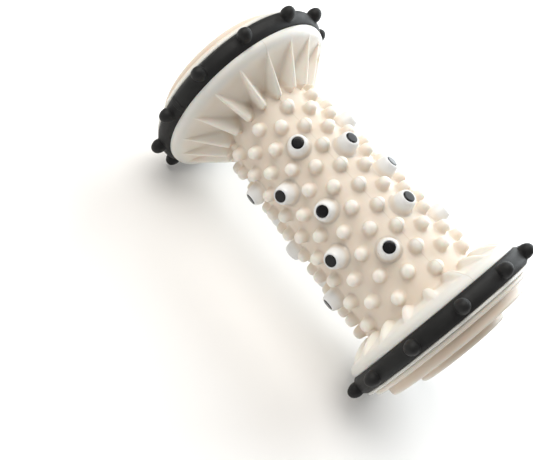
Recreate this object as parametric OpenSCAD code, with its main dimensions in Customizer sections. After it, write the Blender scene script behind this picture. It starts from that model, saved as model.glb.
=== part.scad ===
// Foot massage roller: a nubbed, slightly conical barrel between two flared
// flanges, with rubber traction rings round the rims and stepped end caps.
// The roller's axis is Y, +Z is up, and the origin is at its middle.
// It rests on the lowest knobs of the two traction rings.

/* [Barrel] */
// Outer radius of the barrel wall at the middle of the nub pattern
wall_r = 23.8; // [22:0.2:26]
// Growth of the wall's radius for each millimetre towards +Y
wall_taper = 0.061; // [0:0.01:0.08]
// Thickness of the barrel wall
wall_t = 2.6; // [2:0.2:3]
// Angle about the axis, from up towards +X, of the row on the parting plane
row0_turn = 34; // [30:1:40]

/* [Nubs] */
// Number of rows of nubs and of ribs round the barrel
row_count = 18; // [18]
// Distance between nubs along a row
nub_pitch = 11; // [10.6:0.2:11.2]
// Nubs in a full row
nubs_per_row = 9; // [9]
// Distance of the nub pattern's middle from the roller's middle
pattern_shift = 4.6; // [4:0.2:5]
// Radius of a nub's round tip
nub_tip_r = 2.6; // [2.2:0.1:2.6]
// Radius of a nub's shank, a little more than its tip's
nub_r = 2.8; // [2.7:0.1:3]
// Height of a nub above the wall
nub_h = 4.6; // [4:0.2:5]

/* [Magnet eyes] */
// Radius of a magnet cup at its foot
cup_r = 5.2; // [5:0.1:5.4]
// Radius of a magnet cup's flat top
cup_top_r = 3.5; // [3.4:0.1:3.7]
// Height of a magnet cup above the wall
cup_h = 6.2; // [5.8:0.1:6.4]
// Radius of a magnet disc
magnet_r = 2.5; // [2.4:0.05:2.6]
// Thickness of a magnet disc
magnet_t = 2; // [1.5:0.1:2.5]

/* [Flanges] */
// Radius of the flange's lip
lip_r = 41.6; // [41.4:0.1:42]
// Distance of the lip's outer side from the roller's middle
lip_y = 61.6; // [61.4:0.1:62]
// Radius of the seat of the traction ring
seat_r = 40; // [39.8:0.1:40.2]
// Thickness of a rib at its foot
rib_t = 2.2; // [1.6:0.2:2.6]

/* [Traction rings] */
// Width of a traction ring
ring_w = 7.6; // [7.2:0.1:7.8]
// Radius of the middle of a traction ring's crown
ring_r = 43.6; // [43.2:0.1:43.8]
// Number of knobs on a traction ring
knob_count = 12; // [12]
// Radius of a knob
knob_r = 3.3; // [3:0.1:3.4]
// Distance of a knob's middle from the axis
knob_circle_r = 45; // [44.8:0.1:45.2]
// Turn of the right ring's knobs past even spacing; the left ring's is opposite
knob_turn = 3.5; // [0:0.5:15]

/* [End caps] */
// Distance of an end cap's flat face from the roller's middle
cap_y = 80.4; // [80:0.1:81]
// Radii of the end cap's three steps, from the outermost inwards
step_r = [38.8, 33.8, 20.9];
// Heights of the outer two steps' faces below the flat face
step_drop = [7.6, 3.4];
// Radius of the hole through the end cap
bore_r = 3; // [2.5:0.5:4]
// Length of the hole through the end cap
bore_len = 12; // [8:1:12]

/* [Core] */
// Outer radius of the core tube
core_r = 17.4; // [17:0.1:17.4]
// Thickness of the core tube's wall
core_t = 2; // [1.6:0.2:2.4]
// Half of the core tube's length
core_half = 77.7; // [76:0.1:77.7]

/* [Hidden] */
$fn = 96;
row_step = 360 / row_count;
mid_j = (nubs_per_row - 1) / 2;
last_row = row_count / 2;

// Flange profile: where the face meets the lip, and the face's slope on each
// side. Pairs give the side at -Y first.
face_top_r = 39.4;
face_top_y = 57.4;
face_slopes = [0.356, 0.22];
lip_t = 2.2;
seat_t = 2.2;
seat_end = 68.4;
face_t = 2.2;

// Depth of a nub's foot inside the wall
nub_sink = 1;

// Ribs: feet and tip of the ridges, as radius and distance from the middle
ridge_feet = [[24.6, 44.6], [28.8, 52.1]];
ridge_tip = [39.6, 56.8];
rib_sink = 0.8;

// Hoops that carry the shells on the core tube
hoop_y = [-32, 9, 44];
hoop_t = 2.4;
hoop_gap = 0.1;

// Rim rings
rim_gap = 0.1;
rim_in_r = 35.4;
rim_root_y = 62;
rim_face_y = 70.6;

// End caps
cap_t = 2.6;
cap_gap = 0.1;
collar_y = 66;
collar_t = 2.3;
spigot_y = 59;
spigot_t = 2;
boss_r = 9;

// Magnet cups
cup_sink = 1.2;
cup_gap = 0.05;
magnet_proud = 0.2;
pocket_gap = 0.05;

// Rows 0 and 9 lie on the parting plane. Two rows with no cup separate the
// groups of three rows that carry cups.
EYE_GROUPS = [-7, -3, 1, 5];
EYES = [for (k = EYE_GROUPS) each [
    [k, mid_j - 1.5], [k, mid_j + 1.5],
    [k + 1, mid_j],
    [k + 2, mid_j - 2.5], [k + 2, mid_j + 2.5]]];
CUP_NODES = [for (i = [1 : len(EYES)]) str("magnet_cup_", i)];
MAGNET_NODES = [for (i = [1 : len(EYES)]) str("magnet_", i)];

function nub_y(j) = pattern_shift + (j - mid_j) * nub_pitch;
function wall_at(y) = wall_r + wall_taper * (y - pattern_shift);
function row_turn(k) = row0_turn - k * row_step;
function of_side(pair, s) = pair[s > 0 ? 1 : 0];
// Distance from the middle of the flange's face at radius r on side s
function face_y(r, s) = face_top_y - of_side(face_slopes, s) * (face_top_r - r);
// Distance from the middle where the barrel wall meets the flange on side s
function foot_y(s) =
    face_y(wall_at(0), s) / (1 - s * of_side(face_slopes, s) * wall_taper);
function is_eye(k, j) = len([for (e = EYES) if (e[0] == k && e[1] == j) e]) > 0;
function row_start(k) = abs(k) % 2 == 0 ? 0 : 0.5;

module turned() {
    rotate([-90, 0, 0]) rotate_extrude() children();
}

module on_side(s) {
    mirror([0, s > 0 ? 0 : 1, 0]) children();
}

// Places its children with +Z pointing out of the barrel wall
module at_spot(k, j) {
    rotate([0, row_turn(k), 0])
        translate([0, nub_y(j), wall_at(nub_y(j))])
            children();
}

module nub() {
    shank = nub_h - nub_tip_r;
    translate([0, 0, -nub_sink]) cylinder(h = shank + nub_sink, r = nub_r, $fn = 32);
    translate([0, 0, shank]) sphere(r = nub_tip_r, $fn = 32);
}

module rib(s) {
    foot = of_side(ridge_feet, s);
    floor_r = wall_at(s * foot[1]) - rib_sink;
    outline = [[floor_r, foot[1]], foot, ridge_tip,
        [ridge_tip[0], face_y(ridge_tip[0], s) + rib_sink],
        [floor_r, face_y(floor_r, s) + rib_sink]];
    on_side(s)
        translate([rib_t / 2, 0, 0])
            rotate([0, -90, 0])
                linear_extrude(rib_t)
                    polygon(outline);
}

module shell_profile() {
    in_r = seat_r - seat_t;
    ya = foot_y(-1);
    yb = foot_y(1);
    yai = ya + face_t;
    ybi = yb + face_t;
    polygon([
        [seat_r, -seat_end], [seat_r, -lip_y], [lip_r, -lip_y], [lip_r, -lip_y + lip_t],
        [face_top_r, -face_top_y], [wall_at(-ya), -ya],
        [wall_at(yb), yb], [face_top_r, face_top_y],
        [lip_r, lip_y - lip_t], [lip_r, lip_y], [seat_r, lip_y], [seat_r, seat_end],
        [in_r, seat_end], [in_r, face_y(in_r, 1) + face_t], [wall_at(ybi) - wall_t, ybi],
        [wall_at(-yai) - wall_t, -yai], [in_r, -face_y(in_r, -1) - face_t], [in_r, -seat_end]]);
}

module hoops() {
    for (y = hoop_y)
        turned()
            translate([core_r + hoop_gap, y - hoop_t / 2])
                square([wall_at(y) - wall_t / 2 - core_r - hoop_gap, hoop_t]);
}

module half_space(side) {
    rotate([0, row0_turn, 0])
        translate([side > 0 ? 0 : -60, -100, -60])
            cube([60, 200, 120]);
}

// One half of the moulded shell, with its nubs and ribs: side 1 holds the rows
// with negative numbers, side -1 the rows with positive ones
module shell_half(side) {
    intersection() {
        half_space(side);
        difference() {
            union() {
                turned() shell_profile();
                hoops();
                for (n = [0 : last_row]) {
                    k = -side * n;
                    for (j = [row_start(k) : 1 : nubs_per_row - 1])
                        if (!is_eye(k, j)) at_spot(k, j) nub();
                    for (s = [-1, 1]) rotate([0, row_turn(k), 0]) rib(s);
                }
            }
            for (e = EYES)
                if (e[0] * side < 0)
                    at_spot(e[0], e[1])
                        translate([0, 0, -cup_sink])
                            cylinder(h = cup_h, r = cup_r + cup_gap);
        }
    }
}

module shell_front() {
    color("linen") shell_half(1);
}

module shell_back() {
    color("linen") shell_half(-1);
}

module core_tube() {
    color("lightgray")
        turned()
            translate([core_r - core_t, -core_half])
                square([core_t, 2 * core_half]);
}

module rim_ring(s) {
    seat_in = seat_r - seat_t - rim_gap;
    seat_out = lip_y + ring_w + 0.2;
    color("white")
        on_side(s) turned()
            polygon([[rim_in_r, rim_root_y], [seat_in, rim_root_y], [seat_in, seat_end + rim_gap],
                [seat_r, seat_end + rim_gap], [seat_r, seat_out], [lip_r, seat_out],
                [lip_r, rim_face_y], [rim_in_r, rim_face_y]]);
}

module end_cap(s) {
    tier_y = [cap_y - step_drop[0], cap_y - step_drop[1], cap_y];
    collar_r = rim_in_r - cap_gap;
    spigot_r = core_r - core_t - cap_gap;
    boss_y = cap_y - bore_len;
    in_1 = collar_r - collar_t;
    in_2 = step_r[1] - cap_t;
    in_3 = step_r[2] - cap_t;
    color("linen")
        on_side(s) turned()
            polygon([[bore_r, cap_y], [step_r[2], cap_y], [step_r[2], tier_y[1]],
                [step_r[1], tier_y[1]], [step_r[1], tier_y[0]], [step_r[0], tier_y[0]],
                [step_r[0], rim_face_y], [collar_r, rim_face_y], [collar_r, collar_y],
                [in_1, collar_y], [in_1, tier_y[0] - cap_t], [in_2, tier_y[0] - cap_t],
                [in_2, tier_y[1] - cap_t], [in_3, tier_y[1] - cap_t], [in_3, cap_y - cap_t],
                [spigot_r, cap_y - cap_t], [spigot_r, spigot_y], [spigot_r - spigot_t, spigot_y],
                [spigot_r - spigot_t, cap_y - cap_t], [boss_r, cap_y - cap_t], [boss_r, boss_y],
                [bore_r, boss_y]]);
}

module traction_ring(s) {
    mid_y = lip_y + 0.1 + ring_w / 2;
    crown = [[-0.5, 1.9], [-0.39, 0.7], [-0.2, 0.1], [0, 0], [0.2, 0.1], [0.39, 0.7], [0.5, 1.9]];
    color("black")
        on_side(s) {
            turned()
                polygon(concat([[seat_r + 0.05, mid_y - ring_w / 2]],
                    [for (p = crown) [ring_r - p[1], mid_y + p[0] * ring_w]],
                    [[seat_r + 0.05, mid_y + ring_w / 2]]));
            for (n = [0 : knob_count - 1])
                rotate([0, (n + 0.5) * 360 / knob_count + s * knob_turn, 0])
                    translate([0, mid_y, knob_circle_r])
                        sphere(r = knob_r, $fn = 32);
        }
}

module magnet_cup(i) {
    top = cup_h;
    shoulder = 1.6;
    color("ghostwhite")
        at_spot(EYES[i][0], EYES[i][1])
            difference() {
                union() {
                    translate([0, 0, -cup_sink]) cylinder(h = cup_sink + shoulder, r = cup_r);
                    translate([0, 0, shoulder])
                        cylinder(h = top - shoulder, r1 = cup_r, r2 = cup_top_r);
                }
                translate([0, 0, top - magnet_t])
                    cylinder(h = magnet_t + 1, r = magnet_r + pocket_gap);
            }
}

module magnet(i) {
    color("black")
        at_spot(EYES[i][0], EYES[i][1])
            translate([0, 0, cup_h - magnet_t])
                cylinder(h = magnet_t + magnet_proud, r = magnet_r);
}

shell_front();
shell_back();
core_tube();
rim_ring(-1);  // rim_ring_left
rim_ring(1);  // rim_ring_right
end_cap(-1);  // end_cap_left
end_cap(1);  // end_cap_right
traction_ring(-1);  // traction_ring_left
traction_ring(1);  // traction_ring_right
for (i = [0 : len(EYES) - 1]) {
    magnet_cup(i);
    magnet(i);
}
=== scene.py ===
"""Looks of the foot massage roller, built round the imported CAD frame.

Lengths are in millimetres, and in metres for the lights, the camera and the floor.
Angles are in degrees in the capital-letter values and in radians inside the functions.
The roller's axis is Y, and an angle about it is measured from +Z towards +X. A side is
-1 at the -Y end and 1 at the +Y end. Outlines are pairs of a radius and a distance
along the axis from the roller's middle.
"""
import math

import bmesh
import bpy
import numpy as np
from mathutils import Euler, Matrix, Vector


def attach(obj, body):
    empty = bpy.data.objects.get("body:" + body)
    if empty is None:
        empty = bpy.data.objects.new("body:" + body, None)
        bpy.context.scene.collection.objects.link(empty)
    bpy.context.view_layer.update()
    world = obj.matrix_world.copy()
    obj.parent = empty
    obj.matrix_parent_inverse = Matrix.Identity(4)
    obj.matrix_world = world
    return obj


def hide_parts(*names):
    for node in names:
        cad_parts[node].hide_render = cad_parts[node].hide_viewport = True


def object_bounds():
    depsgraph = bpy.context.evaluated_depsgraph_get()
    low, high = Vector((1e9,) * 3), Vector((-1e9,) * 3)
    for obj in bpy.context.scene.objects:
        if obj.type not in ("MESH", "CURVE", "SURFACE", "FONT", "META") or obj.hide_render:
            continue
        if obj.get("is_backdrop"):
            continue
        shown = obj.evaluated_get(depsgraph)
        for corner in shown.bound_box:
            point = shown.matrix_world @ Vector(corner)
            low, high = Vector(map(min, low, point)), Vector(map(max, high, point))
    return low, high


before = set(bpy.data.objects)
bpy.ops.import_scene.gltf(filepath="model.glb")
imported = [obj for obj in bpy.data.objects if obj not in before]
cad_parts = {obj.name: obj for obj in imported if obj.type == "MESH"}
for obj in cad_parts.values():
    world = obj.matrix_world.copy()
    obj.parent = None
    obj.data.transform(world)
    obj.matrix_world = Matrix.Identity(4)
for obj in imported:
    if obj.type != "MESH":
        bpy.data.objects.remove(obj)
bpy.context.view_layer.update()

MM = 0.001
TO_MM = 1000.0

# ---------------------------------------------------------------- dimensions
# The barrel's wall: its radius at the nub pattern's middle, and its growth towards +Y
WALL_R = 23.8
WALL_TAPER = 0.061
PATTERN_SHIFT = 4.6
PATTERN_END = {-1: -43.7, 1: 52.4}

# Rows of nubs run along the barrel. Even rows have places 0 to 8, odd rows 0.5 to 7.5
NUB_PITCH = 11.0
ROW_COUNT = 18
ROW_STEP = 360 / ROW_COUNT
ROW0_TURN = 34.0
LAST_J = 8
MID_J = LAST_J / 2
LAST_ROW = ROW_COUNT // 2

# The cups stand in groups of five: the rows that groups start at, and each cup's rows
# from there and places from the middle
GROUP_STARTS = (-7, -3, 1, 5)
GROUP_CUPS = ((0, -1.5), (0, 1.5), (1, 0), (2, -2.5), (2, 2.5))
EYES = [(start + row, MID_J + place) for start in GROUP_STARTS for row, place in GROUP_CUPS]

CUP_H = 6.2
MAGNET_R = 2.5
MAGNET_T = 2.0
MAGNET_PROUD = 0.2

FACE_TOP = (39.4, 57.4)
FACE_SLOPE = {-1: 0.356, 1: 0.22}
CORNER_ROUND = {-1: 1.2, 1: 3.0}
# Each rib's top edge: where it starts, the point it bends towards, where it runs out
RIDGES = {-1: ((24.6, 44.4), (31.9, 50.6), (38.8, 57.15)),
          1: ((28.3, 52.3), (34.4, 52.8), (39.3, 57.35))}
SEAT_R = 40.0
SEAT_END = 68.4
LIP_R = 41.6
LIP_Y = 61.6

RING_W = 7.6
RING_R = 43.6
RING_MID_Y = 65.5
KNOB_COUNT = 12
KNOB_CIRCLE_R = 45.15
KNOB_TURN = 3.5

RIM_FACE_Y = 70.6
# Each step's outer radius and its height
CAP_STEPS = ((38.8, 72.8), (33.8, 77.0), (20.9, 80.4))
BORE_R = 3.0


def nub_y(j):
    return PATTERN_SHIFT + (j - MID_J) * NUB_PITCH


def wall_at(y):
    return WALL_R + WALL_TAPER * (y - PATTERN_SHIFT)


def row_turn(k):
    return math.radians(ROW0_TURN - ROW_STEP * k)


def row_start(k):
    return 0 if k % 2 == 0 else 0.5


def outwards(turn):
    return np.array((math.sin(turn), 0, math.cos(turn)))


def sideways(turn):
    return np.array((-math.cos(turn), 0, math.sin(turn)))


def on_row(turn, y, r, phi=0.0):
    """A point at radius r and at angle phi from a row at angle turn."""
    point = outwards(turn) * (r * math.cos(phi)) + sideways(turn) * (r * math.sin(phi))
    point[1] = y
    return point


# ---------------------------------------------------------------- mesh tools
# Points that agree to this many decimal places become one
WELD_PLACES = 4


def link(name, data):
    obj = bpy.data.objects.new(name, data)
    bpy.context.scene.collection.objects.link(obj)
    return obj


class Maker:
    """Collects faces by their corner points and welds them into one mesh."""

    def __init__(self):
        self.points = []
        self.faces = []

    def add(self, *corners):
        start = len(self.points)
        self.points.extend(corners)
        self.faces.append(tuple(range(start, start + len(corners))))

    def grid(self, rows):
        for low, high in zip(rows, rows[1:]):
            for i in range(len(low) - 1):
                self.add(low[i], low[i + 1], high[i + 1], high[i])

    def zipper(self, one, two):
        """Joins two open rows of points that share their ends and differ in count."""
        i = j = 0
        m, n = len(one) - 1, len(two) - 1
        while i < m or j < n:
            if j == n or (i < m and (i + 1) / m <= (j + 1) / n):
                self.add(one[i], one[i + 1], two[j])
                i += 1
            else:
                self.add(one[i], two[j + 1], two[j])
                j += 1

    def build(self, name, material, outward=None, smooth_angle=50):
        co = np.array(self.points)
        keys, index = np.unique(np.round(co, WELD_PLACES), axis=0, return_inverse=True)
        index = index.reshape(-1)
        faces = []
        for face in self.faces:
            ids = []
            for p in face:
                v = int(index[p])
                if v not in ids:
                    ids.append(v)
            if len(ids) > 2:
                faces.append(ids)
        mesh = bpy.data.meshes.new(name)
        mesh.from_pydata([tuple(p) for p in keys * MM], [], faces)
        bm = bmesh.new()
        bm.from_mesh(mesh)
        bmesh.ops.recalc_face_normals(bm, faces=bm.faces)
        if outward is not None:
            score = sum(outward(f.calc_center_median()).dot(f.normal) for f in bm.faces)
            if score < 0:
                bmesh.ops.reverse_faces(bm, faces=bm.faces)
        bm.to_mesh(mesh)
        bm.free()
        obj = link(name, mesh)
        mesh.materials.append(material)
        mesh.shade_smooth()
        mesh.set_sharp_from_angle(angle=math.radians(smooth_angle))
        return obj


def radial(p):
    """The direction away from the axis at a point."""
    return Vector((p.x, 0, p.z)).normalized()


def circle(steps):
    """The angles of a full turn in equal steps."""
    return [2 * math.pi * i / steps for i in range(steps + 1)]


def revolve(name, profile, material, side, steps=144):
    """A closed profile turned about the axis."""
    maker = Maker()
    turns = circle(steps)
    maker.grid([[np.array((r * math.sin(a), side * y, r * math.cos(a))) for a in turns]
                for r, y in profile + profile[:1]])
    return maker.build(name, material, smooth_angle=40)


def rounded(points, radius, steps=4):
    """Rounds the corners of an open outline with short curves."""
    points = [np.array(p, float) for p in points]
    done = [points[0]]
    for before, corner, after in zip(points, points[1:], points[2:]):
        length_in = np.linalg.norm(before - corner)
        length_out = np.linalg.norm(after - corner)
        reach = min(radius, length_in / 2, length_out / 2)
        a = corner + (before - corner) / length_in * reach
        b = corner + (after - corner) / length_out * reach
        for i in range(steps + 1):
            t = i / steps
            done.append((1 - t) ** 2 * a + 2 * t * (1 - t) * corner + t * t * b)
    done.append(points[-1])
    return [tuple(p) for p in done]


# ----------------------------------------------------------------- materials
def new_material(name):
    mat = bpy.data.materials.new(name)
    mat.use_nodes = True
    tree = mat.node_tree
    tree.nodes.clear()
    out = tree.nodes.new("ShaderNodeOutputMaterial")
    shader = tree.nodes.new("ShaderNodeBsdfPrincipled")
    tree.links.new(shader.outputs["BSDF"], out.inputs["Surface"])
    return mat, tree, shader


def set_sockets(made, **values):
    for key, value in values.items():
        made.inputs[key.replace("_", " ")].default_value = value


def node(tree, kind, **values):
    made = tree.nodes.new(kind)
    set_sockets(made, **values)
    return made


def math_node(tree, operation, a, b=None):
    made = tree.nodes.new("ShaderNodeMath")
    made.operation = operation
    for socket, value in zip(made.inputs, (a, b)):
        if value is None:
            continue
        if isinstance(value, (int, float)):
            socket.default_value = value
        else:
            tree.links.new(value, socket)
    return made.outputs[0]


def mix_colors(tree, factor, a, b):
    made = tree.nodes.new("ShaderNodeMix")
    made.data_type = "RGBA"
    tree.links.new(factor, made.inputs["Factor"])
    for socket, value in ((made.inputs["A"], a), (made.inputs["B"], b)):
        if isinstance(value, tuple):
            socket.default_value = (*value, 1)
        else:
            tree.links.new(value, socket)
    return made.outputs["Result"]


def tint(tree, color, other, where, share):
    """Mixes up to a share of another colour into a colour."""
    return mix_colors(tree, math_node(tree, "MULTIPLY", where, share), color, other)


def ramp(tree, value, low, high):
    """Rises smoothly from 0 where the value is low to 1 where it is high."""
    made = node(tree, "ShaderNodeMapRange", From_Min=low, From_Max=high)
    made.interpolation_type = "SMOOTHSTEP"
    tree.links.new(value, made.inputs["Value"])
    return made.outputs["Result"]


def object_coords(tree):
    return tree.nodes.new("ShaderNodeTexCoord").outputs["Object"]


def place_in_mm(tree, coords):
    """The point's radius about the axis, distance along it, and height over the wall."""
    split = tree.nodes.new("ShaderNodeSeparateXYZ")
    tree.links.new(coords, split.inputs[0])
    xx = math_node(tree, "MULTIPLY", split.outputs["X"], split.outputs["X"])
    zz = math_node(tree, "MULTIPLY", split.outputs["Z"], split.outputs["Z"])
    radius = math_node(tree, "SQRT", math_node(tree, "ADD", xx, zz))
    radius = math_node(tree, "MULTIPLY", radius, TO_MM)
    along = math_node(tree, "MULTIPLY", split.outputs["Y"], TO_MM)
    wall = math_node(tree, "ADD", math_node(tree, "MULTIPLY", along, WALL_TAPER),
                     WALL_R - WALL_TAPER * PATTERN_SHIFT)
    height = math_node(tree, "SUBTRACT", radius, wall)
    return radius, along, height


def noise(tree, coords, scale, detail=3.0, rough=0.5):
    made = node(tree, "ShaderNodeTexNoise", Scale=scale, Detail=detail, Roughness=rough)
    tree.links.new(coords, made.inputs["Vector"])
    return made.outputs["Fac"]


def set_color(tree, shader, color):
    tree.links.new(color, shader.inputs["Base Color"])


def set_rough(tree, shader, value, least, spread):
    """Makes the roughness grow with a value, from its least by up to the spread."""
    rough = math_node(tree, "ADD", math_node(tree, "MULTIPLY", value, spread), least)
    tree.links.new(rough, shader.inputs["Roughness"])


def bump(tree, shader, height, strength, distance):
    made = node(tree, "ShaderNodeBump", Strength=strength, Distance=distance)
    tree.links.new(height, made.inputs["Height"])
    tree.links.new(made.outputs["Normal"], shader.inputs["Normal"])


WALL_COLOR = (0.76, 0.67, 0.57)
TIP_COLOR = (0.85, 0.82, 0.755)
RIM_COLOR = (0.75, 0.74, 0.70)
# Tan used for painted shade in corners and on the -Y flange's face, and for the parting line's seam
SHADE_AND_SEAM_TAN = (0.60, 0.44, 0.30)


def parting_line(tree, coords):
    """A faint line where the two moulded halves meet."""
    outer_half, inner_half, share = 0.22, 0.08, 0.35
    across = tree.nodes.new("ShaderNodeVectorMath")
    across.operation = "DOT_PRODUCT"
    turn = row_turn(0)
    across.inputs[1].default_value = (TO_MM * math.cos(turn), 0, -TO_MM * math.sin(turn))
    tree.links.new(coords, across.inputs[0])
    off = math_node(tree, "ABSOLUTE", across.outputs["Value"])
    return math_node(tree, "MULTIPLY", ramp(tree, off, outer_half, inner_half), share)


def painted_face_shade(tree, radius, along):
    """How much painted shade, in tan, to put on the sheltered face of the -Y flange between its ribs.
    """
    reach, core, share = 2.2, 0.2, 0.28
    outer_r, inner_r = 41.0, 35.0
    slope = FACE_SLOPE[-1]
    face = math_node(tree, "ADD", math_node(tree, "MULTIPLY", radius, slope),
                     FACE_TOP[1] - slope * FACE_TOP[0])
    depth = math_node(tree, "ADD", face, along)
    between = ramp(tree, depth, reach, core)
    inner = ramp(tree, radius, outer_r, inner_r)
    return math_node(tree, "MULTIPLY", math_node(tree, "MULTIPLY", between, inner), share)


def skin_material():
    """Soft cream moulding, paler on the nubs' tips and whiter at the rim, faintly mottled, with
    painted shade on the -Y flange's sheltered face.
    """
    mat, tree, shader = new_material("skin_cream")
    coords = object_coords(tree)
    radius, along, height = place_in_mm(tree, coords)
    tips = ramp(tree, height, 0.6, 4.2)
    color = mix_colors(tree, tips, WALL_COLOR, TIP_COLOR)
    rim = ramp(tree, radius, 36.5, 41.0)
    color = mix_colors(tree, rim, color, RIM_COLOR)
    # Painted shade: tan mixed into the -Y flange's face between the ribs, where shade and warm bounce
    # light fall
    color = mix_colors(tree, painted_face_shade(tree, radius, along), color, SHADE_AND_SEAM_TAN)
    mottle = ramp(tree, noise(tree, coords, scale=90.0, detail=4.0), 0.42, 0.75)
    color = tint(tree, color, (0.66, 0.53, 0.42), mottle, share=0.10)
    color = mix_colors(tree, parting_line(tree, coords), color, SHADE_AND_SEAM_TAN)
    set_color(tree, shader, color)
    set_rough(tree, shader, noise(tree, coords, scale=260.0), least=0.30, spread=0.16)
    set_sockets(shader, Subsurface_Weight=0.45, Subsurface_Radius=(1.0, 0.62, 0.40),
                Subsurface_Scale=0.0022, IOR=1.46, Sheen_Weight=0.06)
    grain = noise(tree, coords, scale=900.0, detail=2.0)
    bump(tree, shader, grain, strength=0.10, distance=0.0003)
    return mat


def cup_material():
    """Milky white, running into the cream of the skin at the cup's foot."""
    mat, tree, shader = new_material("cup_milky")
    coords = object_coords(tree)
    height = place_in_mm(tree, coords)[2]
    foot = ramp(tree, height, 0.2, 3.6)
    color = mix_colors(tree, foot, WALL_COLOR, (0.84, 0.84, 0.83))
    clouds = ramp(tree, noise(tree, coords, scale=220.0), 0.4, 0.8)
    color = tint(tree, color, (0.66, 0.67, 0.68), clouds, share=0.12)
    set_color(tree, shader, color)
    set_rough(tree, shader, noise(tree, coords, scale=300.0), least=0.24, spread=0.12)
    set_sockets(shader, Subsurface_Weight=0.6, Subsurface_Radius=(1.0, 0.95, 0.85),
                Subsurface_Scale=0.002, Coat_Weight=0.15, Coat_Roughness=0.2)
    return mat


def rim_material():
    """Frosted white with a faint haze."""
    mat, tree, shader = new_material("rim_frosted")
    coords = object_coords(tree)
    haze = ramp(tree, noise(tree, coords, scale=70.0), 0.35, 0.8)
    color = tint(tree, (0.74, 0.73, 0.68), (0.66, 0.65, 0.61), haze, share=0.25)
    set_color(tree, shader, color)
    set_rough(tree, shader, noise(tree, coords, scale=240.0), least=0.28, spread=0.14)
    set_sockets(shader, Subsurface_Weight=0.7, Subsurface_Radius=(1.0, 0.95, 0.88),
                Subsurface_Scale=0.003)
    grain = noise(tree, coords, scale=800.0, detail=2.0)
    bump(tree, shader, grain, strength=0.08, distance=0.0002)
    return mat


def cap_material():
    """Cream and mottled, with painted shade in tan in the corner at the foot of each step."""
    mat, tree, shader = new_material("cap_cream")
    coords = object_coords(tree)
    radius, along, height = place_in_mm(tree, coords)
    mottle = ramp(tree, noise(tree, coords, scale=60.0, detail=4.0), 0.38, 0.8)
    color = tint(tree, (0.80, 0.74, 0.66), (0.74, 0.66, 0.57), mottle, share=0.22)
    # Painted shade: tan darkens the corner at the foot of each step, where shade falls
    reach, core, offset, share = 2.2, 0.2, 0.5, 0.5
    for step_r, step_y in CAP_STEPS[1:]:
        off = math_node(tree, "SUBTRACT", radius, step_r + offset)
        off = math_node(tree, "ABSOLUTE", off)
        corner = math_node(tree, "MULTIPLY", ramp(tree, off, reach, core), share)
        below = ramp(tree, math_node(tree, "ABSOLUTE", along), step_y, step_y - reach)
        corner = math_node(tree, "MULTIPLY", corner, below)
        color = mix_colors(tree, corner, color, SHADE_AND_SEAM_TAN)
    set_color(tree, shader, color)
    set_rough(tree, shader, noise(tree, coords, scale=240.0), least=0.32, spread=0.16)
    set_sockets(shader, Subsurface_Weight=0.4, Subsurface_Radius=(1.0, 0.65, 0.42),
                Subsurface_Scale=0.0022)
    grain = noise(tree, coords, scale=800.0, detail=2.0)
    bump(tree, shader, grain, strength=0.10, distance=0.0003)
    return mat


def rubber_material():
    """Matte black rubber with a fine grain and a little dust."""
    mat, tree, shader = new_material("rubber_black")
    coords = object_coords(tree)
    dust = ramp(tree, noise(tree, coords, scale=160.0, detail=5.0, rough=0.6), 0.45, 0.85)
    color = tint(tree, (0.010, 0.010, 0.010), (0.022, 0.022, 0.021), dust, share=0.5)
    set_color(tree, shader, color)
    set_rough(tree, shader, noise(tree, coords, scale=300.0, detail=4.0), least=0.5, spread=0.16)
    set_sockets(shader, Specular_IOR_Level=0.3)
    grain = noise(tree, coords, scale=1400.0)
    bump(tree, shader, grain, strength=0.25, distance=0.0002)
    return mat


def magnet_material():
    """Glossy black ceramic with fine scuffs."""
    mat, tree, shader = new_material("magnet_black")
    coords = object_coords(tree)
    scuffs = ramp(tree, noise(tree, coords, scale=500.0, detail=5.0, rough=0.65), 0.5, 0.9)
    color = tint(tree, (0.004, 0.004, 0.005), (0.012, 0.012, 0.014), scuffs, share=0.5)
    set_color(tree, shader, color)
    set_rough(tree, shader, scuffs, least=0.2, spread=0.2)
    set_sockets(shader, Specular_IOR_Level=0.3)
    return mat


def core_material():
    """Plain grey pipe with faint streaks."""
    mat, tree, shader = new_material("core_grey")
    coords = object_coords(tree)
    streaks = ramp(tree, noise(tree, coords, scale=50.0, detail=4.0), 0.3, 0.8)
    color = tint(tree, (0.52, 0.52, 0.52), (0.40, 0.40, 0.40), streaks, share=0.3)
    set_color(tree, shader, color)
    set_sockets(shader, Roughness=0.5)
    return mat


SKIN = skin_material()
CUP = cup_material()
RIM = rim_material()
CAP = cap_material()
RUBBER = rubber_material()
MAGNET = magnet_material()
CORE = core_material()


def fit_out(obj, slot, *nodes):
    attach(obj, "root")
    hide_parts(*nodes)


# --------------------------------------------------------------- nubbed skin
# The skin is made of cells, one for each nub or cup, that share the points on their edges
CELL_SIDES = 8
RING_POINTS = 4 * CELL_SIDES
NUB_H = 4.6
# Rings of a nub from its domed tip down its tapered side to the rounded foot: each ring's
# radius and its height over the wall
NUB_RINGS = ((0.7, 4.54), (1.3, 4.37), (1.8, 4.07), (2.15, 3.67), (2.37, 3.2), (2.5, 2.66),
             (2.61, 2.05), (2.72, 1.45), (2.84, 0.9), (2.98, 0.46), (3.18, 0.15), (3.5, 0.0))


def spot_point(k, j, rho, turn, h):
    """A point at distance rho from a nub's axis, h above the barrel wall."""
    y = nub_y(j) + rho * math.cos(turn)
    side = rho * math.sin(turn)
    phi = side / wall_at(nub_y(j))
    return on_row(row_turn(k), y, wall_at(y), phi=phi) + outwards(row_turn(k)) * h


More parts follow.
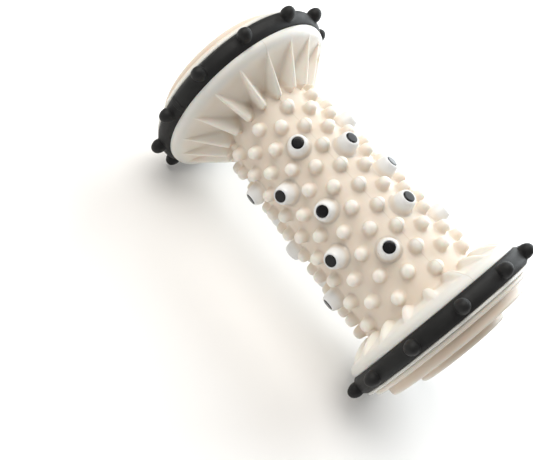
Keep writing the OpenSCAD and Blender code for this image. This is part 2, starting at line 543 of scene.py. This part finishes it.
def cell_edge(k, low, mid, high):
    """The points round a cell of the pattern, starting at its +Y end."""
    half = CELL_SIDES // 2
    edge = []
    for i in range(RING_POINTS):
        if i <= half or i >= RING_POINTS - half:
            v = (i if i <= half else i - RING_POINTS) / CELL_SIDES
            y = high
        elif i <= 3 * half:
            v = 0.5
            t = (2 * half - i) / half
            y = mid + t * (high - mid if t > 0 else mid - low)
        elif i <= 5 * half:
            v = (4 * half - i) / CELL_SIDES
            y = low
        else:
            v = -0.5
            t = (i - 6 * half) / half
            y = mid + t * (high - mid if t > 0 else mid - low)
        edge.append(on_row(row_turn(k), y, wall_at(y), phi=math.radians(v * ROW_STEP)))
    return edge


def halves(k, makers):
    """The makers of the faces on a row's two sides: towards higher and lower rows."""
    if k == 0:
        return makers["back"], makers["front"]
    if k == LAST_ROW:
        return makers["front"], makers["back"]
    both = makers["front"] if k < 0 else makers["back"]
    return both, both


def nub_cell(k, j, low, high, makers):
    """A nub with the wall round it."""
    edge = cell_edge(k, low, nub_y(j), high)
    turns = circle(RING_POINTS)[:-1]
    rings = [[spot_point(k, j, rho, a, h) for a in turns] for rho, h in NUB_RINGS]
    rings.append([(a + b) / 2 for a, b in zip(rings[-1], edge)])
    rings.append(edge)
    tip = spot_point(k, j, 0, 0, NUB_H)
    upper, lower = halves(k, makers)
    for maker, first in ((upper, 0), (lower, RING_POINTS // 2)):
        span = [(first + i) % RING_POINTS for i in range(RING_POINTS // 2 + 1)]
        for one, two in zip(span, span[1:]):
            maker.add(tip, rings[0][one], rings[0][two])
        maker.grid([[ring[i] for i in span] for ring in rings])


def plain_cell(k, low, mid, high, makers):
    """The wall under a cup."""
    steps = CELL_SIDES // 2 + 1
    ys = list(np.linspace(low, mid, steps)) + list(np.linspace(mid, high, steps))[1:]
    add_wall(k, ys, makers)


def add_wall(k, ys, makers):
    """A plain stretch of a row's wall with its points at the given distances."""
    upper, lower = halves(k, makers)
    for maker, first, last in ((upper, 0, 0.5), (lower, -0.5, 0)):
        phis = [math.radians(v * ROW_STEP) for v in np.linspace(first, last, CELL_SIDES // 2 + 1)]
        maker.grid([[on_row(row_turn(k), y, wall_at(y), phi=phi) for phi in phis] for y in ys])


def pattern_row(k, makers):
    """One row of the barrel, from the end of the pattern at -Y to the end at +Y."""
    steps = CELL_SIDES // 2 + 1
    if k % 2:
        add_wall(k, list(np.linspace(PATTERN_END[-1], nub_y(0), steps)), makers)
        add_wall(k, list(np.linspace(nub_y(LAST_J), PATTERN_END[1], steps)), makers)
    for j in np.arange(row_start(k), LAST_J + 0.1, 1):
        low = max(nub_y(j - 0.5), PATTERN_END[-1])
        high = min(nub_y(j + 0.5), PATTERN_END[1])
        if (k, j) in EYES:
            plain_cell(k, low, nub_y(j), high, makers)
        else:
            nub_cell(k, j, low, high, makers)


# ------------------------------------------------------------ ribbed flanges
# Half a rib's width where it is widest and where it runs out
RIB_HALF = {-1: (2.9, 0.5), 1: (2.8, 0.9)}
# The flange's profile has stations along it. A rib's front rises over RIB_RISE of them
FACE_STATIONS = 32
RIB_START = 1
RIB_RISE = 5
RIB_FRONT = RIB_START + RIB_RISE
# The share of its width that a rib has at the foot of its front
RIB_PROW = 0.25
# The power that rounds the end of a +Y rib: a high one keeps it wide for longer
RIB_END_POWER = 2.5
# Half of a rib's section: reach from its middle, as a share of its half width, and share
# of its height
RIB_SECTION = ((0.0, 1.0), (0.16, 0.985), (0.3, 0.945), (0.43, 0.86), (0.54, 0.73), (0.64, 0.56),
               (0.75, 0.37), (0.87, 0.2), (0.99, 0.085), (1.13, 0.022), (1.28, 0.0))
SECTION_FLATS = 2
# The lip's outline, from the face's top over the rounded edge and along the traction
# ring's seat
LIP = ((40.3, 57.95), (41.1, 58.7), (41.5, 59.6), (LIP_R, 60.6), (LIP_R, LIP_Y - 0.35),
       (41.5, LIP_Y - 0.1), (41.25, LIP_Y), (SEAT_R, LIP_Y), (SEAT_R, SEAT_END))


def face_line(side):
    """The flange's profile from the end of the nub pattern to the face's top."""
    slope = FACE_SLOPE[side]
    # The corner is where the lines of the wall and of the face meet
    corner_y = FACE_TOP[1] - slope * (FACE_TOP[0] - wall_at(0))
    corner_y /= 1 - side * slope * WALL_TAPER
    corner = (wall_at(side * corner_y), corner_y)
    start = (wall_at(PATTERN_END[side]), abs(PATTERN_END[side]))
    line = np.array(rounded([start, corner, FACE_TOP], CORNER_ROUND[side], steps=8))
    length = np.concatenate([[0], np.cumsum(np.linalg.norm(np.diff(line, axis=0), axis=1))])
    spaced = np.linspace(0, length[-1], FACE_STATIONS)
    return np.column_stack([np.interp(spaced, length, line[:, i]) for i in (0, 1)])


def ridge_line(side, base):
    """The ridge's points over the base's, standing up from the wall and running out on the face."""
    foot, bend, end = (np.array(p) for p in RIDGES[side])
    ridge = []
    for i, level in enumerate(base):
        t = (level[0] - base[RIB_FRONT][0]) / (end[0] - base[RIB_FRONT][0])
        if i <= RIB_START or t >= 1:
            ridge.append(level)
        elif i < RIB_FRONT:
            ridge.append(base[RIB_START] + (foot - base[RIB_START]) * (i - RIB_START) / RIB_RISE)
        else:
            ridge.append((1 - t) ** 2 * foot + 2 * t * (1 - t) * bend + t * t * end)
    return ridge


def rib_spread(side, base):
    """Half the rib's width at each station: pointed at its front, tapered or rounded at its end."""
    wide, narrow = RIB_HALF[side]
    reach = RIDGES[side][2][0]
    spread = []
    for i, level in enumerate(base):
        t = (level[0] - base[RIB_FRONT][0]) / (reach - base[RIB_FRONT][0])
        t = min(1.0, max(0.0, t))
        rise = min(1.0, max(0.0, (i - RIB_START) / RIB_RISE))
        share = 1 - t if side < 0 else math.sqrt(1 - t ** RIB_END_POWER)
        prow = RIB_PROW + (1 - RIB_PROW) * math.sqrt(rise)
        spread.append((narrow + (wide - narrow) * share) * prow)
    return spread


def rib_half(side, turn, sign, low, high, width):
    """Points across half of a row of the flange, from a rib's middle to the cell's edge.

    The rib stands on the profile's point low and its ridge passes through high.
    """
    edge_phi = sign * math.radians(ROW_STEP / 2)
    row = []
    for reach, share in RIB_SECTION:
        point = on_row(turn, side * low[1], low[0], phi=sign * reach * width / low[0])
        point = point + outwards(turn) * (high[0] - low[0]) * share
        point[1] += side * (high[1] - low[1]) * share
        row.append(point)
    last_phi = sign * RIB_SECTION[-1][0] * width / low[0]
    for i in range(1, SECTION_FLATS + 1):
        phi = last_phi + (edge_phi - last_phi) * (i / SECTION_FLATS)
        row.append(on_row(turn, side * low[1], low[0], phi=phi))
    return row


def flange_row(k, side, makers):
    base = face_line(side)
    ridge = ridge_line(side, base)
    spread = rib_spread(side, base)
    turn = row_turn(k)
    y = PATTERN_END[side]
    for maker, sign in zip(halves(k, makers), (1, -1)):
        rows = [rib_half(side, turn, sign, *station) for station in zip(base, ridge, spread)]
        rows += [rib_half(side, turn, sign, p, p, spread[-1]) for p in LIP]
        maker.grid(rows[1:])
        edge = [on_row(turn, y, wall_at(y), phi=sign * math.radians(v * ROW_STEP))
                for v in np.linspace(0, 0.5, CELL_SIDES // 2 + 1)]
        maker.zipper(edge, rows[1])


def skin():
    makers = {"front": Maker(), "back": Maker()}
    for k in range(-LAST_ROW + 1, LAST_ROW + 1):
        pattern_row(k, makers)
        for side in (-1, 1):
            flange_row(k, side, makers)
    for half, maker in makers.items():
        obj = maker.build("skin_" + half, SKIN, outward=radial, smooth_angle=60)
        fit_out(obj, "shell", "shell_" + half)


# ------------------------------------------------------- cups and the magnets
POCKET_R = MAGNET_R + 0.04
POCKET_FLOOR = CUP_H - MAGNET_T - 0.02
# Rings of a cup from the pocket's floor over the lip and down to the foot, and on under the
# skin: each ring's radius and its height over the wall
CUP_RINGS = [(POCKET_R, POCKET_FLOOR), (POCKET_R, CUP_H - 0.22), (2.62, CUP_H - 0.06),
             (2.8, CUP_H), (3.04, CUP_H - 0.04), (3.3, CUP_H - 0.22), (3.54, CUP_H - 0.55),
             (3.78, CUP_H - 1.05), (4.0, 4.45), (4.2, 3.6), (4.34, 2.7), (4.44, 1.9),
             (4.56, 1.15), (4.76, 0.55), (5.06, 0.17), (5.45, 0.015)]
CUP_UNDER = [(5.1, -0.25), (4.9, -1.1), (2.5, -1.1)]
CUP_POINTS = 48
# A ring follows the wall's roundness at the foot, and is flat from this height upwards
CUP_FLAT_H = 2.0
CUP_TURNS = circle(CUP_POINTS)[:-1] + [0.0]


def flat_height(j, rho, h, turn):
    """Takes the wall's roundness out of a ring's height, more so towards the cup's flat top."""
    middle = wall_at(nub_y(j))
    wall = wall_at(nub_y(j) + rho * math.cos(turn))
    drop = middle - wall * math.cos(rho * math.sin(turn) / middle)
    share = min(1.0, max(0.0, h / CUP_FLAT_H))
    return h + drop * share


def cup(i, k, j):
    """A cup from its pocket over the lip, down its sides and in under the skin."""
    maker = Maker()
    top = spot_point(k, j, 0, 0, POCKET_FLOOR)
    bottom = spot_point(k, j, 0, 0, CUP_UNDER[-1][1])
    rings = [[top] * len(CUP_TURNS)]
    for rho, h in CUP_RINGS + CUP_UNDER:
        rings.append([spot_point(k, j, rho, a, flat_height(j, rho, h, a)) for a in CUP_TURNS])
    rings.append([bottom] * len(CUP_TURNS))
    maker.grid(rings)
    obj = maker.build("cup_%d" % i, CUP, smooth_angle=50)
    fit_out(obj, "cup", "magnet_cup_%d" % i)


# Outline of a magnet from the middle of its underside over its bevel to the middle of its
# top: radius and height over the pocket's floor
MAGNET_TOP = MAGNET_T + MAGNET_PROUD
MAGNET_OUTLINE = [(0.0, 0.0), (MAGNET_R, 0.0), (MAGNET_R, MAGNET_TOP - 0.24),
                  (MAGNET_R - 0.07, MAGNET_TOP - 0.1), (MAGNET_R - 0.22, MAGNET_TOP - 0.02),
                  (1.6, MAGNET_TOP), (0.0, MAGNET_TOP)]


def magnet(i, k, j):
    """The flat disc in a cup, a little proud of it."""
    maker = Maker()
    out, across, along = outwards(row_turn(k)), sideways(row_turn(k)), np.array((0, 1, 0))
    middle = out * (wall_at(nub_y(j)) + (CUP_H - MAGNET_T))
    middle[1] = nub_y(j)
    rows = []
    for rho, h in MAGNET_OUTLINE:
        level = middle + out * h
        rows.append([level + across * rho * math.sin(a) + along * (rho * math.cos(a))
                     for a in CUP_TURNS])
    maker.grid(rows)
    obj = maker.build("disc_%d" % i, MAGNET, smooth_angle=35)
    fit_out(obj, "magnet", "magnet_%d" % i)


# ------------------------------------------------------------ traction rings
# The band is made of one cell for each knob. A cell's edge has KNOB_SHORT steps across the
# band at each end and KNOB_LONG along each side
KNOB_SHORT = 6
KNOB_LONG = 14
KNOB_POINTS = 2 * (KNOB_SHORT + KNOB_LONG)
KNOB_SINK = RING_R - KNOB_CIRCLE_R
KNOB_FOOT_R = 3.2
BALL_R = 3.05
# Rings of a knob from near its tip down the ball to its foot: each ring's radius and its
# height over the band
KNOB_RINGS = [(BALL_R * math.sin(math.radians(a)), BALL_R * math.cos(math.radians(a)) - KNOB_SINK)
              for a in range(12, 109, 12)]
KNOB_RINGS += [(2.92, 0.25), (3.02, 0.07), (KNOB_FOOT_R, 0.0)]
# Where the rings between the knob's foot and the cell's edge lie
KNOB_SHARES = (0.3, 0.65)
HALF_W = RING_W / 2
CROWN_DROP = 1.9
CROWN_POWER = 3.2
# The band's sides have a loop this far in from their outer edge, which keeps it crisp
BAND_EDGE = 0.5
BAND_INNER_R = SEAT_R + 0.05


def crown(a):
    """Radius of the ring's rounded outside at distance a from its middle."""
    t = min(1.0, abs(a) / HALF_W)
    return RING_R - CROWN_DROP * t ** CROWN_POWER


def band_point(turn, side, a, phi, h=0.0):
    """A point h over the band, at distance a from its middle and angle phi from turn."""
    return on_row(turn, side * (RING_MID_Y + a), crown(a), phi=phi) + outwards(turn) * h


def band_edge():
    """The points round a knob's cell: distance from the band's middle and angle."""
    half = math.pi / KNOB_COUNT
    s, l = KNOB_SHORT // 2, KNOB_LONG
    edge = []
    for i in range(KNOB_POINTS):
        if i <= s or i > KNOB_POINTS - s:
            edge.append(((i if i <= s else i - KNOB_POINTS) / s * HALF_W, half))
        elif i <= s + l:
            edge.append((HALF_W, half * (1 - 2 * (i - s) / l)))
        elif i <= 3 * s + l:
            edge.append((HALF_W * (1 - (i - s - l) / s), -half))
        else:
            edge.append((-HALF_W, half * (2 * (i - 3 * s - l) / l - 1)))
    return edge


def knob_cell(n, side, maker):
    """A ball-shaped knob with its stretch of the band."""
    turn = math.radians((n + 0.5) * 360 / KNOB_COUNT + side * KNOB_TURN)
    turns = circle(KNOB_POINTS)[:-1]
    rings = [[band_point(turn, side, rho * math.sin(a), rho * math.cos(a) / RING_R, h) for a in turns]
             for rho, h in KNOB_RINGS]
    foot = [(KNOB_FOOT_R * math.sin(a), KNOB_FOOT_R * math.cos(a) / RING_R) for a in turns]
    edge = band_edge()
    for share in KNOB_SHARES:
        rings.append([band_point(turn, side, a0 + (a1 - a0) * share, p0 + (p1 - p0) * share)
                      for (a0, p0), (a1, p1) in zip(foot, edge)])
    rings.append([band_point(turn, side, a, phi) for a, phi in edge])
    tip = band_point(turn, side, 0, 0, BALL_R - KNOB_SINK)
    for i in range(KNOB_POINTS):
        maker.add(tip, rings[0][i], rings[0][(i + 1) % KNOB_POINTS])
    maker.grid([ring + ring[:1] for ring in rings])
    # The band's sides and its inside
    phis = [math.pi / KNOB_COUNT * (1 - 2 * i / KNOB_LONG) for i in range(KNOB_LONG + 1)]
    top = crown(HALF_W)
    under = [(top, HALF_W), (top - BAND_EDGE, HALF_W), (BAND_INNER_R, HALF_W),
             (BAND_INNER_R, -HALF_W), (top - BAND_EDGE, -HALF_W), (top, -HALF_W)]
    maker.grid([[on_row(turn, side * (RING_MID_Y + a), r, phi=phi) for phi in phis] for r, a in under])


# The patch over a band's joint: its place round the axis, half its angle and half its
# width, how far it stands out of the band and how far it reaches into it
SPLICE_TURN = {-1: 93.0, 1: 243.5}
SPLICE_HALF = (1.7, 3.75)
SPLICE_H = 0.55
SPLICE_SINK = 0.6
SPLICE_POWER = 6
SPLICE_STEPS = 10


def splice(side, maker):
    """The raised patch over the joint in a traction ring's band."""
    turn = math.radians(SPLICE_TURN[side])
    half_phi = math.radians(SPLICE_HALF[0])

    def patch_point(u, v, depth):
        rise = SPLICE_H * (1 - abs(u) ** SPLICE_POWER) * (1 - abs(v) ** SPLICE_POWER) - depth
        a = v * SPLICE_HALF[1]
        return on_row(turn, side * (RING_MID_Y + a), crown(a) + rise, phi=u * half_phi)

    # Steps grow shorter towards the patch's edges
    span = [1 - (1 - i / SPLICE_STEPS) ** 2 for i in range(SPLICE_STEPS + 1)]
    span = [-v for v in reversed(span[1:])] + span
    top = [[patch_point(u, v, 0.0) for u in span] for v in span]
    low = [[patch_point(u, v, SPLICE_SINK) for u in span] for v in span]
    maker.grid(top)
    maker.grid(low)
    for i in range(len(span) - 1):
        for j in (0, -1):
            maker.add(top[j][i], top[j][i + 1], low[j][i + 1], low[j][i])
            maker.add(top[i][j], top[i + 1][j], low[i + 1][j], low[i][j])


def traction_ring(side, name):
    maker = Maker()
    for n in range(KNOB_COUNT):
        knob_cell(n, side, maker)
    splice(side, maker)
    obj = maker.build("rubber_ring_" + name, RUBBER, smooth_angle=60)
    fit_out(obj, "rubber", "traction_ring_" + name)


# ------------------------------------------------------- rim rings, end caps
RIM_INNER_R = 35.4
RIM_ROUND = 0.45
# The rim ring's flange starts beyond the skin's end, and its collar goes in under the skin
RIM_BACK_Y = 69.4
COLLAR_R = 37.7
COLLAR_Y = 62.0
COLLAR_STEP_Y = SEAT_END + 0.1


def rim_ring(side, name):
    outline = [(RIM_INNER_R, COLLAR_Y), (COLLAR_R, COLLAR_Y), (COLLAR_R, COLLAR_STEP_Y),
               (SEAT_R, COLLAR_STEP_Y), (SEAT_R, RIM_BACK_Y), (LIP_R, RIM_BACK_Y),
               (LIP_R, RIM_FACE_Y), (RIM_INNER_R, RIM_FACE_Y)]
    profile = rounded(outline + outline[:1], RIM_ROUND)[1:-1]
    obj = revolve("frosted_rim_" + name, profile, RIM, side)
    fit_out(obj, "rim", "rim_ring_" + name)


CAP_WALL = 2.6
CAP_ROUND = 1.25
# A shallow cove runs round the foot of each step: where its deepest line lies, and how far
# out it reaches round the outer and the inner step
COVE_GAP = 0.1
COVE_DEPTH = 0.35
COVE_REACH = (1.0, 1.1)
# The parts that reach in from the cap: radius outside, radius inside and inner end. The
# hub's inside is the bore
CAP_COLLAR = (35.3, 33.0, 66.0)
CAP_SPIGOT = (15.3, 13.3, 59.0)
CAP_HUB = (9.0, 67.0)


def end_cap(side, name):
    (r1, y1), (r2, y2), (r3, y3) = CAP_STEPS
    collar_r, collar_in, collar_y = CAP_COLLAR
    spigot_r, spigot_in, spigot_y = CAP_SPIGOT
    hub_r, hub_y = CAP_HUB
    low1, low2, low3 = y1 - CAP_WALL, y2 - CAP_WALL, y3 - CAP_WALL
    face = [(BORE_R, hub_y), (BORE_R, y3), (r3, y3),
            (r3 + COVE_GAP, y2 - COVE_DEPTH), (r3 + COVE_REACH[1], y2), (r2, y2),
            (r2 + COVE_GAP, y1 - COVE_DEPTH), (r2 + COVE_REACH[0], y1), (r1, y1),
            (r1, RIM_FACE_Y), (collar_r, RIM_FACE_Y)]
    inside = [(collar_r, collar_y), (collar_in, collar_y), (collar_in, low1),
              (r2 - CAP_WALL, low1), (r2 - CAP_WALL, low2), (r3 - CAP_WALL, low2),
              (r3 - CAP_WALL, low3), (spigot_r, low3), (spigot_r, spigot_y),
              (spigot_in, spigot_y), (spigot_in, low3), (hub_r, low3), (hub_r, hub_y)]
    profile = rounded(face, CAP_ROUND, steps=6) + inside
    obj = revolve("stepped_cap_" + name, profile, CAP, side)
    fit_out(obj, "cap", "end_cap_" + name)


# ------------------------------------------------------------------ assemble
skin()
for number, (row, place) in enumerate(EYES, 1):
    cup(number, row, place)
    magnet(number, row, place)
for end, label in ((-1, "left"), (1, "right")):
    traction_ring(end, label)
    rim_ring(end, label)
    end_cap(end, label)
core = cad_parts["core_tube"]
core.data.materials.clear()
core.data.materials.append(CORE)


# ------------------------------------------------------------ stage and light
FLOOR_HALF = 3.0
FLOOR_COLOR = (0.93, 0.92, 0.91, 1)
SKY_COLOR = (1.0, 0.99, 0.98, 1)
SKY_STRENGTH = 0.36
CAMERA_PLACE = (0.2870, 0.0560, 0.1620)
CAMERA_TURN = (47.42, -34.15, 130.94)
CAMERA_LENS = 52.9


def floor():
    """A pale floor at the roller's lowest point."""
    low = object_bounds()[0][2]
    corners = [(x * FLOOR_HALF, y * FLOOR_HALF, low) for x, y in ((-1, -1), (1, -1), (1, 1), (-1, 1))]
    mesh = bpy.data.meshes.new("floor")
    mesh.from_pydata(corners, [], [(0, 1, 2, 3)])
    mat, _, shader = new_material("floor_pale")
    set_sockets(shader, Base_Color=FLOOR_COLOR, Roughness=0.75)
    mesh.materials.append(mat)
    link("floor", mesh)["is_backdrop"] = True


def disk_light(name, place, size, energy, color):
    """A round area light that faces the roller's middle."""
    data = bpy.data.lights.new(name, "AREA")
    data.shape = "DISK"
    data.size = size
    data.energy = energy
    data.color = color
    obj = link(name, data)
    obj.location = place
    aim = Vector((0, 0, 0)) - Vector(place)
    obj.rotation_euler = aim.to_track_quat("-Z", "Y").to_euler()


def studio():
    world = bpy.data.worlds.new("studio")
    bpy.context.scene.world = world
    world.use_nodes = True
    set_sockets(world.node_tree.nodes["Background"], Color=SKY_COLOR, Strength=SKY_STRENGTH)
    disk_light("back", place=(-0.69, 0.0, 0.40), size=1.0, energy=9.6, color=(0.91, 0.97, 1.0))
    disk_light("high", place=(0.20, -0.346, 0.693), size=0.8, energy=5.6, color=(1.0, 0.975, 0.93))


def camera():
    data = bpy.data.cameras.new("camera")
    data.sensor_width = 36.0
    data.lens = CAMERA_LENS
    data.clip_start = 0.01
    obj = link("camera", data)
    obj.location = CAMERA_PLACE
    obj.rotation_euler = Euler([math.radians(a) for a in CAMERA_TURN], "XYZ")
    bpy.context.scene.camera = obj


floor()
studio()
camera()
bpy.context.scene.view_settings.view_transform = "Standard"
